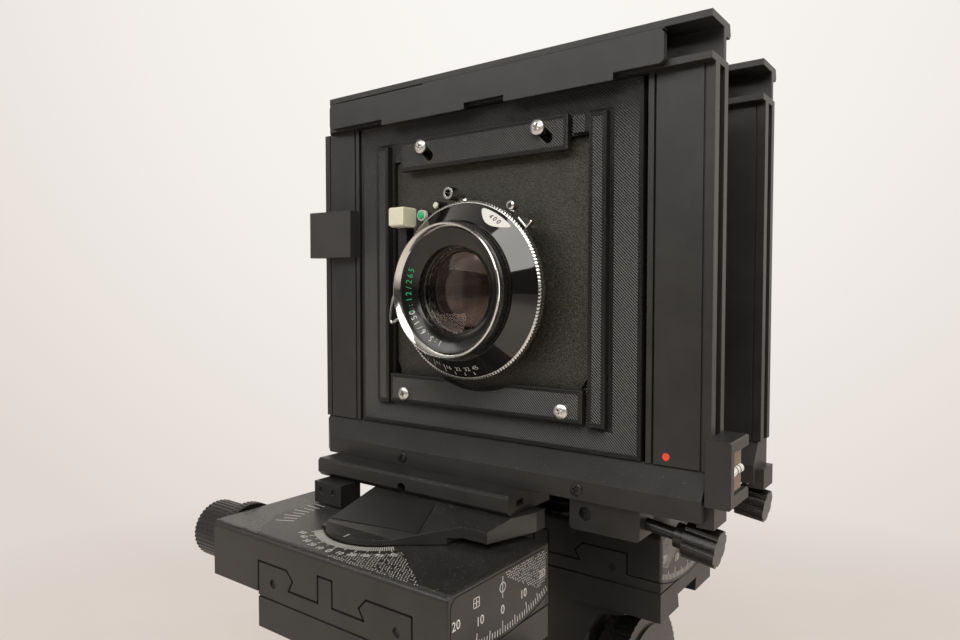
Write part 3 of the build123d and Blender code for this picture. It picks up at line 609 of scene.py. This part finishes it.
window = Marks()
arc_steps = 14
verts = []
for lift in (0.03, 0.1):
    for part in range(5):
        for i in range(arc_steps + 1):
            radius = 33.3 - 4.3 * sin(pi * (0.04 + 0.92 * i / arc_steps)) ** 0.75 * part / 4
            angle = radians(46 + 26 * i / arc_steps)
            verts.append((radius * cos(angle), radius * sin(angle), cone_ahead(radius) + lift))
row = arc_steps + 1
faces = [(level * 5 * row + part * row + i, level * 5 * row + part * row + i + 1,
          level * 5 * row + (part + 1) * row + i + 1, level * 5 * row + (part + 1) * row + i)
         for level in (0, 1) for part in range(4) for i in range(arc_steps)]
rim = list(range(row)) + [part * row + row - 1 for part in range(1, 5)]
rim += [4 * row + i for i in range(row - 2, -1, -1)] + [part * row for part in range(3, 0, -1)]
faces += [(a, b, b + 5 * row, a + 5 * row) for a, b in zip(rim, rim[1:] + rim[:1])]
window.add(verts, faces, LENS_PLACE)
window.build("speed_window", WHITE, "speed_ring", "steel")
number = Marks()
ring_text(number, "400", 31.6, cone_ahead(31.6) + 0.2, 58, 2.8, 3.8, CONE_SLOPE)
number.build("speed_number", INSIDE, "speed_ring", "black_satin")

stops = Marks()
for degrees, label in ((235.1, "8"), (250.2, "11"), (260.3, "16"), (269.1, "22"), (277.4, "32"), (285, "45")):
    stops.text(label, 2.9, around(30.8, degrees, cone_ahead(30.8) + 0.02, CONE_SLOPE, True))
for degrees, length in ((216, 2.4), (230.8, 4.6), (238, 1.5), (245.8, 4.6), (256.2, 4.6), (264.8, 1.5),
                        (273.3, 1.5), (281.2, 1.5)):
    stops.bar(length, 0.3, around(33.3, degrees, cone_ahead(33.3) + 0.02, CONE_SLOPE, True))
stops.build("aperture_scale", WHITE, "speed_ring", "steel")


def lens_spot(radius, degrees, ahead):
    angle = radians(degrees)
    return (radius * cos(angle), FRONT_Y - ahead, LENS_Z + radius * sin(angle))


def stub(name, radius, degrees, profile, material, slot):
    place = axes(lens_spot(radius, degrees, 0), X, Z)
    return add_piece(name, *lathe(profile, 32), material, "front_standard", slot, 35, place)


stub("press_button", 40.0, 128.3, [(0, 8.4), (1.7, 8.4), (1.7, 9.4), (1.3, 9.9), (0, 10.1)], GREEN, "steel")
stub("press_button_rim", 40.0, 128.3, [(1.75, 7.4), (2.2, 7.4), (2.2, 9.2), (1.75, 9.2)], WHITE, "chrome")
stub("preview_knob", 38.4, 115, [(0, 8.8), (1.25, 8.8), (1.35, 9.1), (1.35, 10.0), (1.0, 10.5), (0, 10.6)],
     IVORY, "chrome")

socket_place = axes(lens_spot(39.6, 101.6, 0), X, Z)
tube = lathe([(1.45, 3.2), (2.45, 3.2), (2.45, 5.0), (2.6, 5.4), (2.6, 11.6), (2.35, 12.4), (1.45, 12.4)], 96,
             lambda index, step: -0.13 if index in (3, 4) and step % 4 < 2 else 0)
socket = add_piece("cable_tube", *tube, CHROME, "front_standard", "chrome", 20, socket_place)
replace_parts(socket, "cable_socket")
bent_wire("cable_elbow", [lens_spot(30.0, 100.5, 4.0), lens_spot(36.0, 101.2, 2.7),
                          lens_spot(39.6, 101.6, 2.4), lens_spot(39.6, 101.6, 4.6)], 1.9, CHROME,
          "front_standard", "chrome")

# cocking lever: a bent chrome plate by the ring; release lever: a slotted button; aperture lever: a wire loop
angle = radians(43)
plate = axes(lens_spot(0, 0, 0), X * cos(angle) + Z * sin(angle), Z * cos(angle) - X * sin(angle))
cocking = Marks()
cocking.add(*box((27.0, 37.2), (-1.6, 1.6), (4.9, 5.9), 0.25), plate)
cocking.add(*box((36.3, 37.3), (-2.8, 2.8), (5.2, 12.0), 0.3), plate)
cocking.add(*box((36.9, 40.2), (-2.8, -1.9), (9.2, 12.0), 0.3), plate)
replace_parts(cocking.build("cocking_plate", CHROME, "cocking", "chrome"), "cocking_lever")

angle = radians(59)
plate = axes(lens_spot(0, 0, 0), X * cos(angle) + Z * sin(angle), Z * cos(angle) - X * sin(angle))
release = Marks()
release.add(*box((27.0, 37.6), (-0.9, 0.9), (4.9, 5.9), 0.25), plate)
button = [(0, 5.0), (1.5, 5.0), (1.5, 7.6), (1.9, 7.9), (1.9, 8.8), (1.3, 9.4), (0, 9.5)]
release.add(*lathe(button, 32), plate @ Matrix.Translation((37.8, 0, 0)))
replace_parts(release.build("release_button", CHROME, "release", "chrome"), "release_lever")

loop = [(27.5, 190, 5.5), (33, 187, 5.6), (38.5, 180.5, 6.4), (41.8, 181, 7.2), (43.6, 188, 7.8),
        (45.4, 196.5, 8.2), (44.6, 198.6, 8.2), (40.6, 196.4, 7.4), (38.0, 199.5, 6.6), (33.0, 197.0, 5.8),
        (29.0, 193.0, 5.5)]
wire_loop = bent_wire("aperture_wire", [lens_spot(*point) for point in loop], 0.7, CHROME, "aperture",
                      "chrome")
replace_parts(wire_loop, "aperture_lever")

to_frame = Matrix.Translation(spot(0, FRONT_Y, CENTRE_Z)) @ Matrix.Scale(MM, 4)
cap = Marks()
cap.add(*box((-38.8, -30.5), (-13.9, -5.8), (20.1, 28.0), 0.5), to_frame)
cap.add(*box((-38.4, -30.3), (-12.9, -6.6), (19.8, 20.6), 0.1), to_frame)
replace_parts(cap.build("sync_cap", IVORY, "front_standard", "ivory"), "sync_block")
stem = Marks()
stem.add(*box((-38.6, -33.8), (-8.3, -3.6), (8.2, 20.0), 0.4), to_frame)
stem_ends = [lens_spot(27.6, 157.7, 4.9), lens_spot(32.0, 157.7, 4.9), lens_spot(38.0, 157.7, 4.9)]
stem.build("sync_stem", SATIN, "front_standard", "black_satin")
bent_wire("sync_arm", stem_ends, 1.15, SATIN, "front_standard", "black_satin")


# ---- marks on the frame and the standards -------------------------------------------------
dot = Marks()
dot.dot(1.35, facing_front(78.5, FRONT_Y, CENTRE_Z - 64.3), 32)
dot.build("red_dot", RED, "front_standard", "black_coat")

BLOCK_HALF_X, BLOCK_REACH = 62.5, 29.5      # half width; how far marks may reach from the middle in y
AXIS_RISE = 65.7                            # tilt axis above the block's top
SWING_ZERO, SWING_R = 5, 24.3               # angle of the swing scale's zero; its inner radius
TILT_R = 88.8                               # radius of the tilt scale's lower ends
# centre x, centre y, top, swing axis y, side of the tilt scale's dotted field
BLOCKS = {"front": (-27.6, -51.0, 238.3, -44.0, 1), "rear": (0.0, 51.0, 234.5, 51.0, -1)}
DOTTED_FIELDS = (([(6.4, -29), (50.4, -29), (20.9, -7.1)], 1.12),
                 ([(-62, -29), (-34.8, -29), (-47.4, -8.9), (-44.2, 9.6), (-62, 13)], 1.5))


def inside(x, y, corners):
    """Whether a point lies in a polygon."""
    crossings = 0
    for (x0, y0), (x1, y1) in zip(corners, corners[1:] + corners[:1]):
        if (y0 > y) != (y1 > y) and x < x0 + (y - y0) * (x1 - x0) / (y1 - y0):
            crossings += 1
    return crossings % 2 == 1


for name, (bx, by, top, swing_y, half) in BLOCKS.items():
    marks = Marks()
    rng = Random(7 if half > 0 else 11)
    # swing scale on top, round the saddle's disc, towards the lens
    for tick in range(-26, 27):
        degrees = SWING_ZERO + tick * 1.76
        angle = radians(degrees)
        out = X * sin(angle) - Y * cos(angle)
        length = 5.8 if tick % 10 == 0 else 4.8 if tick % 5 == 0 else 3.6
        place = axes(Vector((bx, swing_y, top)) + out * SWING_R, X * cos(angle) + Y * sin(angle), out)
        if abs((Vector((bx, swing_y, 0)) + out * (SWING_R + length)).y - by) < BLOCK_REACH:
            marks.bar(length, 0.4, place)
    for step in range(-5, 6):
        angle = radians(SWING_ZERO + step * 8.8)
        label = Vector((bx, swing_y, top)) + (X * sin(angle) - Y * cos(angle)) * 32.4
        if abs(label.y - by) < 28.3:
            marks.text(str(abs(step * 10)), 3.4 if step else 4.6, axes(label, X, Y))
    # dotted fields either side of the scale, and the radial rules inside the left one
    for field, pitch in DOTTED_FIELDS:
        for row in range(int(48 / pitch)):
            for column in range(int(112 / pitch)):
                x = -61 + (column * 1.08 + (row % 2) * 0.54) * pitch + rng.uniform(-0.14, 0.14)
                y = -28.7 + row * 0.94 * pitch + rng.uniform(-0.12, 0.12)
                clear = (x * x + (y + by - swing_y) ** 2) ** 0.5 > 30.6
                if inside(x, y, field) and clear and rng.random() < 0.86:
                    marks.dot(0.24, axes((bx + x, by + y, top), X, Y), 6)
    for rule in range(8):
        angle = radians(177 + rule * 4.4)
        out = X * cos(angle) + Y * sin(angle)
        place = axes(Vector((bx, swing_y, top)) + out * 38.8, X * sin(angle) - Y * cos(angle), out)
        marks.bar(8.0 if rule % 2 else 6.0, 0.4, place)
    # tilt scale on the right side
    side_x, axis_z = bx + BLOCK_HALF_X, top + AXIS_RISE
    for degree in range(-19, 20):
        angle = radians(degree)
        down = Y * sin(angle) - Z * cos(angle)
        length = 4.4 if degree % 10 == 0 else 3.4 if degree % 5 == 0 else 2.2
        place = axes(Vector((side_x, by, axis_z)) + down * TILT_R, Y * cos(angle) + Z * sin(angle), -down)
        marks.bar(length, 0.32, place)
    for degree in (-20, -10, 0, 10, 20):
        angle = radians(degree * 0.93)
        spot_at = Vector((side_x, by, axis_z)) + (Y * sin(angle) - Z * cos(angle)) * 80.6
        marks.text(str(abs(degree)), 4.4 if degree else 4.6, axes(spot_at, Y, Z))
    for row in range(17):
        for column in range(25):
            y = by + half * (2.2 + column * 1.08 + (row % 2) * 0.54) + rng.uniform(-0.12, 0.12)
            z = top - 2.6 - row * 0.92 + rng.uniform(-0.12, 0.12)
            reach = ((y - by) ** 2 + (axis_z - z) ** 2) ** 0.5
            if reach < 84.0 and column * 0.62 > row - 2 and rng.random() < 0.9:
                marks.dot(0.24, axes((side_x, y, z), Y, Z), 6)
    ring_verts, ring_faces = lathe([(1.5, 0), (1.8, 0), (1.8, DECAL), (1.5, DECAL)], 32)
    marks.add(ring_verts, ring_faces, axes((side_x, by, top - 7.0), Y, Z))
    marks.bar(7.5, 0.3, axes((side_x, by, top - 10.7), Y, Z))
    plus = Vector((side_x, by - half * 15, top - 7.0))
    for corner in range(4):
        turn = corner * pi / 2
        up = Y * cos(turn) + Z * sin(turn)
        right = Y * sin(turn) - Z * cos(turn)
        marks.bar(3.4, 0.3, axes(plus - up * 1.7 + right * 1.55, right, up))
    marks.bar(2.2, 0.35, axes(plus - Z * 1.1, Y, Z))
    marks.bar(2.2, 0.35, axes(plus - Y * 1.1, -Z, Y))
    marks.build(f"{name}_block_scales", WHITE, f"{name}_block", "steel")

    index_mark = Marks()
    index_mark.bar(3.2, 0.4, axes((bx + 1.0, swing_y - 23.3, top + 2.3), X, Y))
    index_mark.build(f"{name}_index_mark", WHITE, f"{name}_standard", "steel")

# dark joint lines where the cradle's arc rails meet the block's end faces
ARC_RAILS = [(-32.4, 81.6), (-15.3, 81.6), (-11.9, 84.8), (-14.3, 88.8), (2.2, 88.8), (2.2, 79.6),
             (9.8, 79.6), (9.8, 88.8), (25.7, 88.8), (23.3, 85.2), (26.8, 81.8), (47.7, 81.8)]
for name, (bx, by, top, swing_y, half) in BLOCKS.items():
    lines = Marks()
    for side in (-1, 1):
        corners = [Vector((bx + x, by + side * 30.0, top + AXIS_RISE - (radius ** 2 - 900) ** 0.5))
                   for x, radius in [(-32.4, 92)] + ARC_RAILS + [(47.7, 90)]]
        for start, end in zip(corners, corners[1:]):
            along = (end - start).normalized()
            place = axes(start - along * 0.17, along.cross(Y * side), along)
            lines.bar((end - start).length + 0.35, 0.75, place)
    lines.build(f"{name}_joint_lines", INSIDE, f"{name}_cradle", "black_coat")
    panel = Marks()
    face_x = bx + BLOCK_HALF_X
    edge = [(-28.6, -24.0), (-28.6, -4.6), (-27.9, -2.9), (-26.2, -1.6), (26.2, -1.6), (27.9, -2.9),
            (28.6, -4.6), (28.6, -24.0)]
    for (y0, z0), (y1, z1) in zip(edge, edge[1:]):
        start, end = Vector((face_x, by + y0, top + z0)), Vector((face_x, by + y1, top + z1))
        along = (end - start).normalized()
        panel.bar((end - start).length, 0.3, axes(start, along.cross(X), along))
    panel.build(f"{name}_panel_line", INSIDE, f"{name}_block", "black_coat")

# blank plate on the front saddle's ramp
slope = Vector((0, 1, 0.2949)).normalized()
plate = axes((-27.6, -61.5, 239.83), X, slope)
outline = [(-17.6, 5.0), (25.0, 9.6), (18.5, 27.6), (-17.6, 27.6)]
verts = [(x, y, z) for z in (0.0, 0.3) for x, y in outline]
faces = [(3, 2, 1, 0), (4, 5, 6, 7)] + [(i, (i + 1) % 4, (i + 1) % 4 + 4, i + 4) for i in range(4)]
add_piece("ramp_plate", verts, faces, LABEL, "front_standard", "black_coat", place=plate)

# rail scale and column scales
rail_marks = Marks()
for tick in range(-58, 59):
    y = tick * 2.5
    angle = radians(52)
    out = X * cos(angle) + Z * sin(angle)
    length = 4.0 if tick % 4 == 0 else 2.2
    rail_marks.bar(length, 0.3, axes(Vector((0, y, 52)) + out * 18.0, -Y, Z * cos(angle) - X * sin(angle)))
rail_marks.build("rail_scale", WHITE, "rail", "steel")
for name, by, side in (("front", -51.0, -1), ("rear", 51.0, 1)):
    rise_marks = Marks()
    for tick in range(0, 23):
        place = axes((9.7, by + side * 16.7, 82 + tick), Z * side, X)
        rise_marks.bar(5.0 if tick % 5 == 0 else 3.0, 0.3, place)
    rise_marks.build(f"{name}_rise_scale", WHITE, f"{name}_carriage", "steel")


# ---- spirit level --------------------------------------------------------------------------
add_piece("level_block", *box((98.3, 101.2), (-2.6, 8.8), (-73.3, -59.7), 0.4), AMBER, "front_standard",
          "ivory", place=to_frame)
level_vial = axes((100.9, FRONT_Y + 8.6, CENTRE_Z - 66.2), X, Z)
add_piece("level_vial", *lathe([(0, 0.2), (1.3, 0.2), (1.6, 0.6), (1.6, 10.4), (1.3, 10.8), (0, 10.8)], 32),
          VIAL, "front_standard", "lens_glass", place=level_vial)
level_lines = Marks()
for offset in (3.8, 6.8):
    band = [(1.55, offset), (1.7, offset), (1.7, offset + 0.25), (1.55, offset + 0.25)]
    level_lines.add(*lathe(band, 32), level_vial)
level_lines.build("level_lines", INSIDE, "front_standard", "black_satin")


# ---- floor, lights and camera ------------------------------------------------------------------
PALE, BRIGHT = (0.745, 0.675, 0.632), (0.945, 0.925, 0.895)
GLOW_DIRECTION = Vector((-0.50, 0.80, 0.42)).normalized()
EYE = (170.2, -246.6, 332.3)       # where the view is taken from, mm


def backdrop_colour(tree, direction):
    """Pale warm backdrop, brightest towards one direction."""
    toward = tree.nodes.new("ShaderNodeVectorMath")
    toward.operation = "DOT_PRODUCT"
    wire(tree, direction, toward.inputs[0])
    toward.inputs[1].default_value = GLOW_DIRECTION
    return blend_colour(tree, remap(tree, toward.outputs["Value"], 0.0, 1.0, 0.62, 1.0), PALE, BRIGHT)


def floor_material():
    """Pale floor; for the eye it fades into the backdrop away from the camera stand."""
    material = bpy.data.materials.new("floor")
    material.use_nodes = True
    tree = material.node_tree
    shader = tree.nodes["Principled BSDF"]
    coords = tree.nodes.new("ShaderNodeTexCoord").outputs["Object"]
    tone = remap(tree, noise(tree, coords, 160.0), 0, 1)
    wire(tree, blend_colour(tree, tone, (0.62, 0.57, 0.53), (0.66, 0.61, 0.57)), shader.inputs["Base Color"])
    shader.inputs["Roughness"].default_value = 0.8
    length = tree.nodes.new("ShaderNodeVectorMath")
    length.operation = "LENGTH"
    wire(tree, coords, length.inputs[0])
    far = remap(tree, length.outputs["Value"], 0.0, 1.0, 0.30, 0.9)
    seen = tree.nodes.new("ShaderNodeLightPath").outputs["Is Camera Ray"]
    sight = tree.nodes.new("ShaderNodeVectorMath")
    sight.operation = "SUBTRACT"
    wire(tree, coords, sight.inputs[0])
    sight.inputs[1].default_value = spot(*EYE)
    unit = tree.nodes.new("ShaderNodeVectorMath")
    unit.operation = "NORMALIZE"
    wire(tree, sight.outputs["Vector"], unit.inputs[0])
    glow = add_node(tree, "ShaderNodeEmission", Strength=1.0)
    wire(tree, backdrop_colour(tree, unit.outputs["Vector"]), glow.inputs["Color"])
    mix = tree.nodes.new("ShaderNodeMixShader")
    wire(tree, maths(tree, "MULTIPLY", far, seen), mix.inputs[0])
    wire(tree, shader.outputs[0], mix.inputs[1])
    wire(tree, glow.outputs[0], mix.inputs[2])
    wire(tree, mix.outputs[0], tree.nodes["Material Output"].inputs["Surface"])
    return material


floor_mesh = bpy.data.meshes.new("floor")
FLOOR_SIDES = 96
floor_mesh.from_pydata([(6 * cos(2 * pi * i / FLOOR_SIDES), 6 * sin(2 * pi * i / FLOOR_SIDES), -0.0005)
                        for i in range(FLOOR_SIDES)], [], [tuple(range(FLOOR_SIDES))])
floor = bpy.data.objects.new("floor", floor_mesh)
bpy.context.scene.collection.objects.link(floor)
floor_mesh.materials.append(floor_material())

world = bpy.data.worlds.new("studio")
bpy.context.scene.world = world
world.use_nodes = True
sky = world.node_tree
direction = sky.nodes.new("ShaderNodeTexCoord").outputs["Generated"]
split = sky.nodes.new("ShaderNodeSeparateXYZ")
wire(sky, direction, split.inputs[0])
behind = maths(sky, "ADD", split.outputs["Y"], maths(sky, "MULTIPLY", split.outputs["Z"], 0.35))
room = blend_colour(sky, remap(sky, behind, 0, 1, -0.25, 0.45), (0.055, 0.052, 0.05), (0.86, 0.80, 0.75))
seen = sky.nodes.new("ShaderNodeLightPath").outputs["Is Camera Ray"]
backdrop = backdrop_colour(sky, direction)
wire(sky, blend_colour(sky, seen, room, backdrop), sky.nodes["Background"].inputs["Color"])
bpy.context.scene.view_settings.view_transform = "Standard"


def area_light(name, place, target, size, watts, colour=(1, 1, 1)):
    lamp = bpy.data.lights.new(name, "AREA")
    lamp.shape, lamp.size, lamp.size_y = "RECTANGLE", size[0], size[1]
    lamp.energy, lamp.color = watts, colour
    holder = bpy.data.objects.new(name, lamp)
    bpy.context.scene.collection.objects.link(holder)
    holder.location = place
    aim = Vector(target) - Vector(place)
    holder.rotation_euler = aim.to_track_quat("-Z", "Y").to_euler()


AIM = (0.0, -0.01, 0.32)
area_light("key", (0.55, -0.75, 1.20), AIM, (1.0, 1.05), 16, (1.0, 0.97, 0.92))
area_light("right_wall", (1.2, 0.45, 0.5), AIM, (0.6, 1.0), 7, (1.0, 0.94, 0.88))
area_light("left_fill", (-1.1, -0.9, 0.6), AIM, (0.7, 0.9), 0.8, (1.0, 0.98, 0.95))
area_light("front_high", (-0.75, -1.9, 1.35), AIM, (2.2, 0.8), 19, (1.0, 0.97, 0.94))

camera_data = bpy.data.cameras.new("view")
camera_data.sensor_width = 36.0
camera_data.lens = 26.4
camera_data.clip_start = 0.01
view = bpy.data.objects.new("view", camera_data)
bpy.context.scene.collection.objects.link(view)
view.location = spot(*EYE)
view.rotation_euler = (radians(90 - 2.24), 0, radians(36.55))
bpy.context.scene.camera = view
